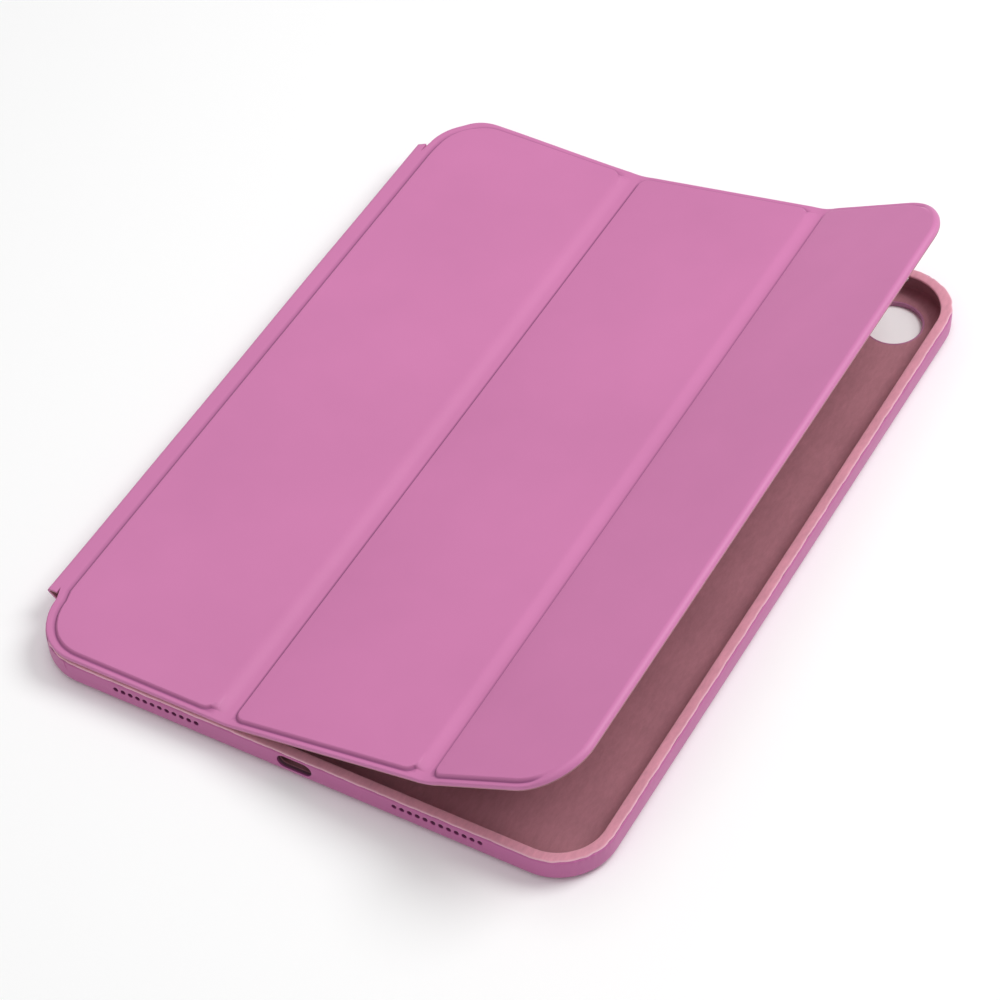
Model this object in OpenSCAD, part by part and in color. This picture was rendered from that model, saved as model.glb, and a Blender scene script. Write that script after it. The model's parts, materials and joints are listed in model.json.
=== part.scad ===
// Folio case for a 10.9 inch tablet: a leather-clad snap-in tray, a spine and a three-panel cover.
// Millimetres. +X runs from the spine to the cover's free edge, +Y away from the charging port,
// +Z up out of the tray. The origin is the middle of the tray's flat back.

/* [Tablet] */
// Width of the tablet that the tray holds
tablet_w = 179.5; // [176:0.5:183]
// Length of the tablet
tablet_l = 248.6; // [246:0.2:252]
// Thickness of the tablet
tablet_t = 6.1; // [6:0.1:8]
// Corner radius of the tablet seen from the front
tablet_r = 16; // [14:1:18]

/* [Tray layers] */
// Thickness of the moulded shell
shell_t = 0.8; // [0.6:0.1:1]
// Thickness of the leather on the tray
skin_t = 0.6; // [0.5:0.1:0.8]
// Thickness of the microfibre inside the tray
lining_t = 0.3; // [0.2:0.1:0.4]
// Width of the lip that holds the tablet down
lip_w = 1.8; // [1.4:0.1:2.2]
// Radius of the tray's lower outside edge
edge_r = 2.6; // [2.2:0.1:3]

/* [Cover] */
// Width of the cover laid flat, without the spine
cover_w = 183.5; // [178:0.5:185]
// Length of the cover
cover_l = 250.8; // [249:0.2:252]
// Radius of the cover's four corners
cover_r = 17.2; // [14:0.2:19]
// Thickness of the cover's leather at the flat margins
margin_t = 1.2; // [1:0.1:1.4]
// Thickness of the cover's lining
cover_lining_t = 0.4; // [0.3:0.1:0.5]
// Height that the stiffened panels stand above the margins
panel_rise = 0.8; // [0.6:0.1:1]
// Thickness of the stiffener boards
board_t = 1; // [0.8:0.1:1.1]

/* [Folds] */
// Distance from the cover's spine edge to the first fold
fold_1_at = 70; // [66:0.5:72]
// Distance from the cover's spine edge to the second fold
fold_2_at = 135.5; // [132:0.5:138]
// Width of the soft channel between two stiffened panels
channel_w = 7.2; // [6.4:0.2:8]
// Tilt of the middle panel above level
panel_2_tilt = 10.6; // [6:0.2:14]
// Tilt of the free panel above level
panel_3_tilt = 26.6; // [20:0.2:32]

/* [Spine] */
// Length of the spine strip along the tray
spine_l = 213.2; // [190:0.2:215.6]
// Distance from the tray's wall to the spine's lower hinge line
spine_gap = 1.75; // [1.6:0.05:2.4]
// How far the spine leans outwards between its lower and its upper hinge line
spine_lean = 0.95; // [0:0.05:1.4]

/* [Openings] */
// Width of the charging port opening
port_w = 11.2; // [10:0.2:13]
// Height of the charging port opening
port_h = 4.9; // [4.4:0.1:5]
// Diameter of a speaker hole
speaker_d = 1.6; // [1.2:0.1:1.7]
// Distance between neighbouring speaker holes
speaker_pitch = 2.45; // [2.3:0.05:2.6]
// Diameter of the camera window in the back
camera_d = 18; // [16:0.5:20]
// Travel of a volume button
button_travel = 0.3; // [0.2:0.05:0.3]

/* [Hidden] */
$fn = 64;

leather_colour = [0.83, 0.50, 0.69];
lining_colour = [0.76, 0.54, 0.60];
shell_colour = [0.55, 0.36, 0.46];
board_colour = [0.72, 0.70, 0.66];
steel_colour = [0.72, 0.73, 0.75];

// Tray outline and heights, from the tablet outwards
bay_gap = 0.15;
bay_w = tablet_w + 2 * bay_gap;
bay_l = tablet_l + 2 * bay_gap;
bay_r = tablet_r + bay_gap;
wall_t = lining_t + shell_t + skin_t;
tray_w = bay_w + 2 * wall_t;
tray_l = bay_l + 2 * wall_t;
tray_r = bay_r + wall_t;
floor_z = wall_t;
lip_z = floor_z + tablet_t + 0.1;
lip_t = 0.35;
lip_top = lip_z + lip_t;
rim_z = lip_top + lining_t;
skin_top = rim_z - 0.1;
corner_x = tray_w / 2 - tray_r;
corner_y = tray_l / 2 - tray_r;
bay_wall = bay_r;
shell_in = bay_r + lining_t;
shell_out = shell_in + shell_t;

// Openings in the tray's short walls and back
port_z = floor_z + tablet_t / 2 + 0.4;
speaker_z = port_z + 0.75;
speaker_count = 12;
bottom_speaker_x = 45.6;
top_speaker_x = 34;
wall_cut = 2 * wall_t + 4;
key_x = 64;
key_w = 15;
key_h = 4.6;
camera_x = 74;
camera_y = 108;
ring_wall = 0.6;
ring_flange = 1.6;
ring_recess = 0.1;

// Volume buttons in the far short wall
button_x = [-68, -57];
button_w = 8.6;
button_h = 3;
button_clear = 0.2;
button_proud = 0.5;
flange_extra = 0.9;
flange_t = 0.35;
pocket_depth = 0.45;
flange_play = 0.05;
far_wall_y = bay_l / 2;

// Cover, flat on the rim before its folds are lifted
rim_gap = 0.15;
cover_past_tray = 0.4;
cover_z = rim_z + rim_gap;
cover_x0 = -tray_w / 2 - cover_past_tray;
cover_x1 = cover_x0 + cover_w;
leather_z = cover_z + cover_lining_t;
margin_z = leather_z + margin_t;
panel_gap = 0.3;
side_margin = 2.2;
spine_margin = 3.7;
free_margin = 0.6;
small_r = 0.6;
plateau_r = 3;
board_inset = 1.2;
fold_1_x = cover_x0 + fold_1_at;
fold_2_x = cover_x0 + fold_2_at;
channel_1_x = fold_1_x - 6.1;
channel_2_x = fold_2_x - 5.6;

// Spine, a soft strip that leans outwards beside the tray's wall
spine_lining_t = 0.4;
spine_leather_t = 0.7;
spine_t = spine_lining_t + spine_leather_t;
hinge_low_x = -tray_w / 2 - spine_gap;
hinge_low_z = 1.2;
hinge_top_x = hinge_low_x - spine_lean;
hinge_top_z = margin_z - 0.8;
hinge_clear = 0.42;
tab_gap = 1;

// Steel and magnets inside the boards
plate_w = 8;
plate_l = 70;
plate_t = 0.5;
plate_y = [-60, 60];
wake_d = 6;
wake_y = [-42, 0, 42];
stand_w = 5;
stand_l = 20;
stand_y = [-95, -68, 68, 95];

// A rectangle from x0 to x1, its left corners rounded by r0 and its right corners by r1
module rounded_band(x0, x1, length, r0, r1) {
    translate([x0 + r0, -length / 2]) square([x1 - x0 - r0 - r1, length]);
    translate([x0, -length / 2 + r0]) square([r0 + 0.01, length - 2 * r0]);
    translate([x1 - r1 - 0.01, -length / 2 + r1]) square([r1 + 0.01, length - 2 * r1]);
    for (side = [-1, 1]) {
        translate([x0 + r0, side * (length / 2 - r0)]) circle(r = r0);
        translate([x1 - r1, side * (length / 2 - r1)]) circle(r = r1);
    }
}

module rounded_rectangle(width, length, radius) {
    rounded_band(-width / 2, width / 2, length, radius, radius);
}

// A stadium of this width and height in the XZ plane, run along Y from y0 to y1
module stadium_cut(x, z, width, height, y0, y1) {
    translate([x, y1, z]) rotate([90, 0, 0]) linear_extrude(y1 - y0) union() {
        square([width - height, height], center = true);
        for (side = [-1, 1]) translate([side * (width - height) / 2, 0]) circle(d = height);
    }
}

// Runs a wall section round the tray. The section's x is the distance from the corner's centre.
module round_tray() {
    for (i = [0:3]) {
        across = i % 2 == 0;
        reach = across ? corner_x : corner_y;
        run = across ? corner_y : corner_x;
        rotate([0, 0, 90 * i]) {
            translate([reach, run, 0]) rotate_extrude(angle = 90) children();
            translate([reach, run, 0]) rotate([90, 0, 0]) linear_extrude(2 * run) children();
        }
    }
}

// Section of one layer: an upright leg outside, a rounded lower corner and a short foot inside
module layer_section(face, base, thickness, radius, top) {
    translate([face - radius, base + radius]) intersection() {
        difference() {
            circle(r = radius);
            circle(r = radius - thickness);
        }
        translate([0, -radius]) square([radius, radius]);
    }
    translate([face - thickness, base + radius]) square([thickness, top - base - radius]);
}

module floor_slab(base, thickness) {
    translate([0, 0, base]) linear_extrude(thickness)
        rounded_rectangle(tray_w - 2 * edge_r, tray_l - 2 * edge_r, tray_r - edge_r);
}

// Everything that passes through the tray's walls
module wall_openings() {
    near = -tray_l / 2;
    far = tray_l / 2;
    stadium_cut(0, port_z, port_w, port_h, near - 2, near + wall_cut);
    stadium_cut(key_x, port_z, key_w, key_h, far - wall_cut, far + 2);
    speaker_rows(near, bottom_speaker_x);
    speaker_rows(far, top_speaker_x);
    translate([0, far + 2, port_z]) rotate([90, 0, 0]) cylinder(d = 1.2, h = wall_cut + 2);
    for (x = button_x) {
        stadium_cut(x, port_z, button_w + 2 * button_clear, button_h + 2 * button_clear,
            far - wall_cut, far + 2);
    }
}

module speaker_rows(wall_y, middle) {
    span = (speaker_count - 1) * speaker_pitch;
    for (side = [-1, 1]) {
        for (i = [0:speaker_count - 1]) {
            translate([side * middle - span / 2 + i * speaker_pitch, wall_y + wall_cut / 2, speaker_z])
                rotate([90, 0, 0]) cylinder(d = speaker_d, h = wall_cut, $fn = 24);
        }
    }
}

// Room behind the wall for the flanges of the volume buttons
module flange_pockets(depth) {
    for (x = button_x) {
        stadium_cut(x, port_z, button_w + 2 * flange_extra + 2 * button_clear,
            button_h + 2 * flange_extra + 2 * button_clear,
            far_wall_y - 1, far_wall_y + depth);
    }
}

module camera_cut(radius) {
    translate([camera_x, camera_y, -1]) cylinder(r = radius, h = floor_z + 2);
}

module tray_leather() {
    color(leather_colour) difference() {
        union() {
            floor_slab(0, skin_t);
            round_tray() layer_section(tray_r, 0, skin_t, edge_r, skin_top);
            translate([hinge_low_x + tab_gap, -spine_l / 2, 0])
                cube([edge_r + spine_gap, spine_l, skin_t]);
        }
        wall_openings();
        camera_cut(camera_d / 2 + ring_flange);
    }
}

module tray_shell() {
    color(shell_colour) difference() {
        union() {
            floor_slab(skin_t, shell_t);
            round_tray() {
                layer_section(shell_out, skin_t, shell_t, edge_r - skin_t, lip_top);
                translate([bay_wall - lip_w + lining_t, lip_z])
                    square([shell_out - bay_wall + lip_w - lining_t, lip_t]);
            }
        }
        wall_openings();
        flange_pockets(lining_t + pocket_depth);
        camera_cut(camera_d / 2 + ring_wall);
    }
}

module floor_lining() {
    color(lining_colour) difference() {
        floor_slab(skin_t + shell_t, lining_t);
        camera_cut(camera_d / 2 + ring_wall);
    }
}

module wall_lining() {
    color(lining_colour) difference() {
        round_tray() {
            layer_section(shell_in, skin_t + shell_t, lining_t, edge_r - skin_t - shell_t, lip_z);
        }
        wall_openings();
        flange_pockets(lining_t + pocket_depth);
    }
}

// Microfibre folded over the lip: a flat top and a short turned-down inner edge
module rim_band() {
    color(lining_colour) round_tray() {
        translate([bay_wall - lip_w, lip_top]) square([shell_out - bay_wall + lip_w, lining_t]);
        translate([bay_wall - lip_w, lip_z]) square([lining_t, lip_t + 0.01]);
    }
}

module camera_ring() {
    color(shell_colour) translate([camera_x, camera_y, 0]) difference() {
        union() {
            translate([0, 0, ring_recess])
                cylinder(r = camera_d / 2 + ring_flange, h = skin_t - ring_recess);
            translate([0, 0, ring_recess])
                cylinder(r = camera_d / 2 + ring_wall, h = floor_z - ring_recess);
        }
        translate([0, 0, -1]) cylinder(r = camera_d / 2, h = floor_z + 2);
    }
}

module volume_button(x) {
    inner_y = far_wall_y + lining_t + pocket_depth - flange_play - flange_t;
    outer_y = tray_l / 2 + button_proud;
    color(leather_colour) union() {
        stadium_cut(x, port_z, button_w, button_h, inner_y, outer_y);
        stadium_cut(x, port_z, button_w + 2 * flange_extra, button_h + 2 * flange_extra,
            inner_y, inner_y + flange_t);
    }
}

module volume_up_button() {
    volume_button(button_x[0]);
}

module volume_down_button() {
    volume_button(button_x[1]);
}

// One layer of the leaning spine, this far out from its inner face
module spine_layer(start, thickness, length) {
    rise = hinge_top_z - hinge_low_z;
    span = norm([spine_lean, rise]);
    translate([hinge_low_x, 0, hinge_low_z]) rotate([0, -atan(spine_lean / rise), 0])
        translate([spine_t / 2 - start - thickness, -length / 2, hinge_clear])
        cube([thickness, length, span - 2 * hinge_clear]);
}

module spine_leather() {
    color(leather_colour) spine_layer(spine_lining_t, spine_leather_t, spine_l);
}

module spine_lining() {
    color(lining_colour) spine_layer(0, spine_lining_t, spine_l - 1);
}

// Lifts the middle panel about the first fold
module on_panel_2() {
    translate([fold_1_x, 0, margin_z]) rotate([0, -panel_2_tilt, 0])
        translate([-fold_1_x, 0, -margin_z]) children();
}

// Lifts the free panel about both folds
module on_panel_3() {
    on_panel_2() translate([fold_2_x, 0, margin_z])
        rotate([0, panel_2_tilt - panel_3_tilt, 0])
        translate([-fold_2_x, 0, -margin_z]) children();
}

// Outline of a panel's leather and lining, drawn in by inset
module panel_outline(number, inset) {
    length = cover_l - 2 * inset;
    half_gap = panel_gap / 2;
    if (number == 1) {
        rounded_band(cover_x0 + inset, fold_1_x - half_gap, length, cover_r - inset, small_r);
        translate([hinge_top_x + tab_gap, -spine_l / 2]) square([10, spine_l]);
    }
    if (number == 2) {
        rounded_band(fold_1_x + half_gap, fold_2_x - half_gap, length, small_r, small_r);
    }
    if (number == 3) {
        rounded_band(fold_2_x + half_gap, cover_x1 - inset, length, small_r, cover_r - inset);
    }
}

// Outline of a panel's raised field, drawn in by inset
module field_outline(number, inset) {
    length = cover_l - 2 * side_margin - 2 * inset;
    outer_r = cover_r - side_margin - inset;
    inner_r = plateau_r - inset;
    if (number == 1) {
        rounded_band(cover_x0 + spine_margin + inset, channel_1_x - inset, length, outer_r, inner_r);
    }
    if (number == 2) {
        rounded_band(channel_1_x + channel_w + inset, channel_2_x - inset, length, inner_r, inner_r);
    }
    if (number == 3) {
        rounded_band(channel_2_x + channel_w + inset, cover_x1 - free_margin - inset, length,
            inner_r, outer_r);
    }
}

module panel_leather(number) {
    color(leather_colour) difference() {
        union() {
            translate([0, 0, leather_z]) linear_extrude(margin_t) panel_outline(number, 0);
            translate([0, 0, leather_z]) linear_extrude(margin_t + panel_rise)
                field_outline(number, 0);
        }
        translate([0, 0, leather_z - 0.01]) linear_extrude(board_t + 0.01)
            field_outline(number, board_inset);
    }
}

module board_blank(number) {
    translate([0, 0, leather_z]) linear_extrude(board_t) field_outline(number, board_inset);
}

module panel_lining(number) {
    color(lining_colour) translate([0, 0, cover_z]) linear_extrude(cover_lining_t)
        panel_outline(number, 0.4);
}

module panel_1_leather() {
    panel_leather(1);
}

module panel_1_board() {
    color(board_colour) difference() {
        board_blank(1);
        for (y = plate_y) plate_space(y);
    }
}

module plate_space(y) {
    translate([cover_x0 + spine_margin + 4, y - plate_l / 2, leather_z])
        cube([plate_w, plate_l, plate_t]);
}

module stand_plates() {
    color(steel_colour) for (y = plate_y) plate_space(y);
}

module panel_1_lining() {
    panel_lining(1);
}

module panel_2_leather() {
    on_panel_2() panel_leather(2);
}

module panel_2_board() {
    color(board_colour) on_panel_2() board_blank(2);
}

module panel_2_lining() {
    on_panel_2() panel_lining(2);
}

module panel_3_leather() {
    on_panel_3() panel_leather(3);
}

module wake_space(y) {
    translate([cover_x1 - free_margin - board_inset - wake_d, y, leather_z])
        cylinder(d = wake_d, h = board_t);
}

module stand_space(y) {
    translate([cover_x1 - free_margin - board_inset - 2 - stand_w, y - stand_l / 2, leather_z])
        cube([stand_w, stand_l, board_t]);
}

module panel_3_board() {
    color(board_colour) on_panel_3() difference() {
        board_blank(3);
        for (y = wake_y) wake_space(y);
        for (y = stand_y) stand_space(y);
    }
}

module wake_magnets() {
    color(steel_colour) on_panel_3() for (y = wake_y) wake_space(y);
}

module stand_magnets() {
    color(steel_colour) on_panel_3() for (y = stand_y) stand_space(y);
}

module panel_3_lining() {
    on_panel_3() panel_lining(3);
}

tray_leather();
tray_shell();
floor_lining();
wall_lining();
rim_band();
camera_ring();
volume_up_button();
volume_down_button();
spine_leather();
spine_lining();
panel_1_leather();
panel_1_board();
panel_1_lining();
stand_plates();
panel_2_leather();
panel_2_board();
panel_2_lining();
panel_3_leather();
panel_3_board();
panel_3_lining();
wake_magnets();
stand_magnets();
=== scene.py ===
import json
from collections import Counter
from math import atan2, ceil, copysign, cos, degrees, dist, exp, hypot, pi, radians, sin, sqrt

import bmesh
import bpy
import numpy as np
from mathutils import Matrix, Vector
from mathutils.geometry import delaunay_2d_cdt


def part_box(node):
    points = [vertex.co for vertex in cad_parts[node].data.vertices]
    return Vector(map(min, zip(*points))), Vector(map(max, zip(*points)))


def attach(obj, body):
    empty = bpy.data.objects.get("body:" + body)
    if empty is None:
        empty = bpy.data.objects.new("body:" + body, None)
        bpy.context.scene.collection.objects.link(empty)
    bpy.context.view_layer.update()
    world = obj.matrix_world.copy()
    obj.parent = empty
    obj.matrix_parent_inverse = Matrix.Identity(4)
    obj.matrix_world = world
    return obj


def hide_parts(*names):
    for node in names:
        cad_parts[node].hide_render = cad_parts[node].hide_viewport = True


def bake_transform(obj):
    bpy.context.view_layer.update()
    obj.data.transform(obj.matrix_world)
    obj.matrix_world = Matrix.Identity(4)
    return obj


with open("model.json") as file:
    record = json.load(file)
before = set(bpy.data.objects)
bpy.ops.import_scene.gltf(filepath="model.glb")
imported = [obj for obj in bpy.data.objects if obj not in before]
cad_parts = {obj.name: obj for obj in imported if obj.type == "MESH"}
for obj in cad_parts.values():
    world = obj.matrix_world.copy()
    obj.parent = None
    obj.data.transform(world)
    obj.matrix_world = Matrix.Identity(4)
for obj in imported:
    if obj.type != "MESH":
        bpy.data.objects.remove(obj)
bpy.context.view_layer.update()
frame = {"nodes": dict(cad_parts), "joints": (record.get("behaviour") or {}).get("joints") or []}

# ---- Sizes. Lengths are millimetres in the CAD's frame, and turn into metres when a mesh is made.
MM = 0.001


def low(node):
    return [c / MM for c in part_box(node)[0]]


def high(node):
    return [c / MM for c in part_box(node)[1]]


def middle(node):
    return [(a + b) / 2 for a, b in zip(low(node), high(node))]


JOINTS = {j["name"]: j for j in frame["joints"]}


def joint_at(name):
    return [c / MM for c in JOINTS[name]["pos_m"]]


# Cover, laid flat on the rim. x runs from the spine edge to the free edge.
COVER_W = 183.5
COVER_L = high("panel_2_leather")[1] - low("panel_2_leather")[1]
COVER_R = 17.2
FOLD_1_AT = 70.0
FOLD_2_AT = 135.5
CHANNEL_BACK = (6.7, 4.9)   # how far each channel starts before its fold line
CHANNEL_AHEAD = (1.1, 1.6)  # and how far it ends past it
SIDE_MARGIN = 2.2
SPINE_MARGIN = 3.7
FIELD_R = 3.0
COVER_X0 = joint_at("fold_1")[0] - FOLD_1_AT
COVER_X1 = COVER_X0 + COVER_W
FOLD_X = (COVER_X0 + FOLD_1_AT, COVER_X0 + FOLD_2_AT)
LINING_Z = low("panel_1_lining")[2]
LEATHER_Z = low("panel_1_leather")[2]
MARGIN_Z = joint_at("fold_1")[2]
RISE = high("panel_1_leather")[2] - MARGIN_Z
TILT_1 = radians(JOINTS["fold_1"]["range_deg"][1])
TILT_2 = radians(JOINTS["fold_2"]["range_deg"][1])
BEND = 5.0                  # half the width over which the leather bends at a fold
SEAM_X = 8.0                # where the two lengths of cover leather meet, on the middle panel

STEP = 0.9                  # width of the steep step on three sides of a field
RAMP = 5.0                  # width of the gentle slope into the channel on a field's right
CHANNEL_X = [fold - back for fold, back in zip(FOLD_X, CHANNEL_BACK)]
CHANNEL_END = [fold + ahead for fold, ahead in zip(FOLD_X, CHANNEL_AHEAD)]
FIELD_HALF = COVER_L / 2 - SIDE_MARGIN
FIELD_END_R = COVER_R - SIDE_MARGIN
# Raised fields of the three panels: x0, x1, radius of the left and right corners, right slope
FIELDS = (
    (COVER_X0 + SPINE_MARGIN, CHANNEL_X[0], FIELD_END_R, FIELD_R, RAMP),
    (CHANNEL_END[0], CHANNEL_X[1], FIELD_R, FIELD_R, RAMP),
    (CHANNEL_END[1], COVER_X1 - SIDE_MARGIN, FIELD_R, FIELD_END_R, STEP),
)
GROOVE = 0.16               # depth of the pressed line at the foot of a step
GROOVE_HALF = 0.38          # half the width of that line
GROOVE_OUT = 0.05           # how far its middle lies outside the foot
FAR_FADE = 0.6              # how much shallower the line is along the far edge
EDGE_ROLL = 0.45            # radius of the cover's turned edges
FREE_ROLL = 1.8             # radius at its free edge, where the leather is at full thickness
UNDER_ROLL = 0.15           # radius of the leather's lower edge
LINING_INSET = 0.12         # how far the lining stops short of the leather's edge
LINING_ROLL = 0.12          # radius of the lining's edge
LINING_GROOVE = 0.25        # depth of the line pressed into the lining at each fold
LINING_GROOVE_HALF = 2.2    # half the width of that line
CORNER_PULL = (1.2, 0.5)    # how far the corners past the spine's near and far end are cut in
PULL_START = 0.4            # how far short of the spine's end that cut begins
PULL_ALONG = 2.6            # the length over which it reaches its depth
PULL_ACROSS = 15            # the width over which it fades out into the panel
FAR_CURL = 1.0              # lift of the margin at the cover's far left corner
CURL_FROM = -78             # x where the curl begins to fade
CURL_ACROSS = 50            # the width over which it fades
CURL_ALONG = 5              # and the length over which it fades from the far edge
GENTLE_FROM, GENTLE_OVER = 0.85, 0.15  # where a field's outline faces right, its slope is gentle
FREE_FROM, FREE_OVER = 0.25, 0.6  # and where the cover's outline does, its edge is free
SPINE_SIDE = 30             # width in which the cover's edge may be joined to the spine
LOOP_STEP = 4.0             # longest straight run between two points of an outline
ARC_STEP = 1.0              # longest run between two points round a corner
BEND_LINES, BEND_ROWS = 11, 64  # lines of points across a bend, and the points along each
GRID = (6.0, 7.0)           # pitch of the loose points inside the fields
# Depths of the loops that follow the cover's outline, and shares of a field's slope with a loop
EDGE_DEPTHS = (0.04, 0.13, 0.28, 0.48, 0.75, 1.1, 1.45, 1.8)
SLOPE_SHARES = (-0.15, 0.0, 0.17, 0.33, 0.5, 0.67, 0.83, 1.0, 1.15, 1.4)

# Tray. Radii are measured from the centres of its rounded corners.
TRAY_HALF_X = high("tray_leather")[0]
TRAY_HALF_Y = high("tray_leather")[1]
TRAY_R = 17.85
TRAY_EDGE_R = 2.6
CORNER_X = TRAY_HALF_X - TRAY_R
CORNER_Y = TRAY_HALF_Y - TRAY_R
SKIN_T = 0.6
SKIN_TOP = high("tray_leather")[2]
SHELL_OUT = high("tray_shell")[0] - CORNER_X
LINING_T = 0.3
LINING_OUT = high("wall_lining")[0] - CORNER_X
LINING_BASE = low("wall_lining")[2]
LIP_Z = high("wall_lining")[2]
RIM_Z = high("rim_band")[2]
LIP_TOP = RIM_Z - LINING_T
LIP_REACH = 1.8             # how far the lip reaches in from the wall
MOUTH_R = LINING_OUT - LINING_T - LIP_REACH
HOLE_ROLL = 0.09            # radius of the leather's edge round a hole
HEM_DROP = 0.25             # how far the leather's top stops below the rim band
WALL_CROWN = 0.10           # how far the wall's leather bulges
WALL_DRIFT = 0.04           # and how much its thickness wanders
NEAR_PRESS = 0.32           # how much thinner it lies at the near left corner
PLEAT = 0.13                # height of the gathers at the rounded corners
PLEAT_WAVES = ((1.0, 58, 0.0), (0.7, 37, 1.0))
LAP_ANGLE = -98.6           # direction in degrees where it laps, past the near left corner
LAP_LEAN = 0.85             # degrees that the lap leans for each millimetre of height
LAP_Z = 4.9                 # height where the lap begins to show
RIM_REACH = 0.20            # how far the rim band reaches past the shell
RIM_WAVER = ((0.05, 0.37, 0.0), (0.04, 0.83, 2.0), (0.03, 1.9, 1.0))
RIM_FAR = 0.50              # how much further it reaches at the far right corner
RIM_PUFF = ((0.03, 0.51, 0.0), (0.02, 1.37, 0.6))
WALL_STEP = 4.0             # length of a face along the walls
WALL_GRID = 1.7             # pitch of the loose points between the holes
FLOOR_GRID = 8.0            # and on the tray's bottom
EDGE_SPANS = 7              # faces round the tray's lower edge
STRAIGHT = 1 - 1e-9         # an outward direction this near to an axis is on a straight wall

# Openings in the short walls: x, z, width and height of a stadium. A round hole has equal sides.
PORT_Z = middle("volume_up_button")[2]
SPEAKER_Z = PORT_Z + 0.75
PORT = (0.0, PORT_Z, 11.2, 4.9)
KEY = (64.0, PORT_Z, 15.0, 4.6)
MIC = (0.0, PORT_Z, 1.2, 1.2)
BUTTON_X = [middle(node)[0] for node in ("volume_up_button", "volume_down_button")]
BUTTON_W, BUTTON_H, BUTTON_CLEAR = 8.6, 3.0, 0.2
SPEAKER_D, SPEAKER_PITCH, SPEAKER_COUNT = 1.6, 2.45, 12
NEAR_SPEAKERS, FAR_SPEAKERS = 45.6, 34.0
HOLE_STEP = 0.28            # longest run between two points round a hole's ends
HOLE_RUN = 0.9              # longest straight run between two points along a hole
HOLE_RINGS = (0.0, 0.03, 0.09)  # how far outside its edge a hole gets loops of points
HOLE_CLEAR = 0.4            # how far from the holes the wall's loose points keep
CAP_STEPS = 16              # steps round each end of a button cap
CAMERA_AT = middle("camera_ring")[:2]
CAMERA_R = 9.0
RING_NECK = 0.6             # wall thickness of the camera ring

# Spine: the soft strip
HINGE_TOP = joint_at("cover_hinge")
SPINE_SHIFT = 0.4           # how far the strip lies along +Y of its place in the CAD
SPINE_NEAR = low("spine_leather")[1] + SPINE_SHIFT
SPINE_FAR = high("spine_leather")[1] + SPINE_SHIFT
SPINE_LEATHER_T = 0.55
SPINE_LINING_T = 0.25
CREASE_R = 1.0              # radius of the crease along the cover's edge
CREASE_IN = 0.05            # how far the crease's centre lies outside the hinge line
SPINE_SPLIT_Z = 4.2         # height where the strip's lower and upper lengths meet
SPINE_SKEW = 0.65           # how much further in the crease lies at its far end
STRIP_WANDER = ((0.10, 6.3, 0.0), (0.05, 17, 0.0))
STRIP_ROWS = 60
STRIP_TAPER = 1.1           # how much longer the strip is at its far end over the crease
# The strip's outer face below the crease, from the tray's back upwards: x and z
STRIP_SIDE = [(-89.4, 0.03), (-91.4, 0.06), (-92.9, 0.35), (-93.6, 1.1), (-93.6, 2.1),
              (-93.2, 3.2), (-92.75, 4.2), (-92.55, 5.3), (-92.95, 6.4), (-93.75, 7.3)]


# ---- Helpers: nodes, curves in the plane, meshes
SHARP_ANGLE = radians(50)


def smooth(t):
    """Runs from 0 to 1 with a soft start and end as t does."""
    t = np.clip(t, 0.0, 1.0)
    return t * t * (3 - 2 * t)


def waves(t, terms):
    """A sum of sine waves, each given by its height, rate and start."""
    return sum(height * sin(rate * t + start) for height, rate, start in terms)


def band_depth(x, y, x0, x1, half, r0, r1):
    """Depth inside a rounded band, and the outward direction of its nearest edge."""
    cx, hx = (x0 + x1) / 2, (x1 - x0) / 2
    r = np.where(x < cx, r0, r1)
    qx, qy = np.abs(x - cx) - (hx - r), np.abs(y) - (half - r)
    out = np.hypot(np.maximum(qx, 0), np.maximum(qy, 0))
    sdf = np.minimum(np.maximum(qx, qy), 0) + out - r
    corner = (qx > 0) & (qy > 0)
    safe = np.where(out > 1e-9, out, 1)
    nx = np.where(corner, np.maximum(qx, 0) / safe, np.where(qx > qy, 1.0, 0.0)) * np.sign(x - cx)
    return -sdf, nx


def band_loop(x0, x1, half, r0, r1, offset=0.0):
    """Points round a rounded band, counter-clockwise, moved outwards by offset."""
    corners = ((x1, -half, r1, -90), (x1, half, r1, 0), (x0, half, r0, 90), (x0, -half, r0, 180))
    points = []
    for x, y, r, start in corners:
        cx = x - copysign(r, x - (x0 + x1) / 2)
        cy = y - copysign(r, y)
        n = max(5, int(ceil(r * pi / 2 / ARC_STEP)))
        for i in range(n + 1):
            a = radians(start + 90 * i / n)
            points.append((cx + (r + offset) * cos(a), cy + (r + offset) * sin(a)))
    return subdivide_loop(points, LOOP_STEP)


def subdivide_loop(points, step):
    """Splits the long straight runs of a closed loop."""
    out = []
    for a, b in zip(points, points[1:] + points[:1]):
        out.append(a)
        n = int(hypot(b[0] - a[0], b[1] - a[1]) / step)
        for i in range(1, n):
            t = i / n
            out.append((a[0] + (b[0] - a[0]) * t, a[1] + (b[1] - a[1]) * t))
    return out


def new_object(name, verts, faces, material):
    """A mesh object from millimetre points."""
    mesh = bpy.data.meshes.new(name)
    mesh.from_pydata([tuple(c * MM for c in v) for v in verts], [], faces)
    mesh.validate()
    mesh.update()
    obj = bpy.data.objects.new(name, mesh)
    bpy.context.scene.collection.objects.link(obj)
    mesh.materials.append(material)
    mesh.polygons.foreach_set("use_smooth", [True] * len(mesh.polygons))
    mesh.set_sharp_from_angle(angle=SHARP_ANGLE)
    return obj


def closed_faces(faces, n):
    """The faces, their mirror images n points further on, and walls along their open edges."""
    edges = [(a, b) for f in faces for a, b in zip(f, f[1:] + f[:1])]
    count = Counter(frozenset(edge) for edge in edges)
    walls = [(b, a, a + n, b + n) for a, b in edges if count[frozenset((a, b))] == 1]
    return faces + [tuple(i + n for i in reversed(f)) for f in faces] + walls


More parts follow.
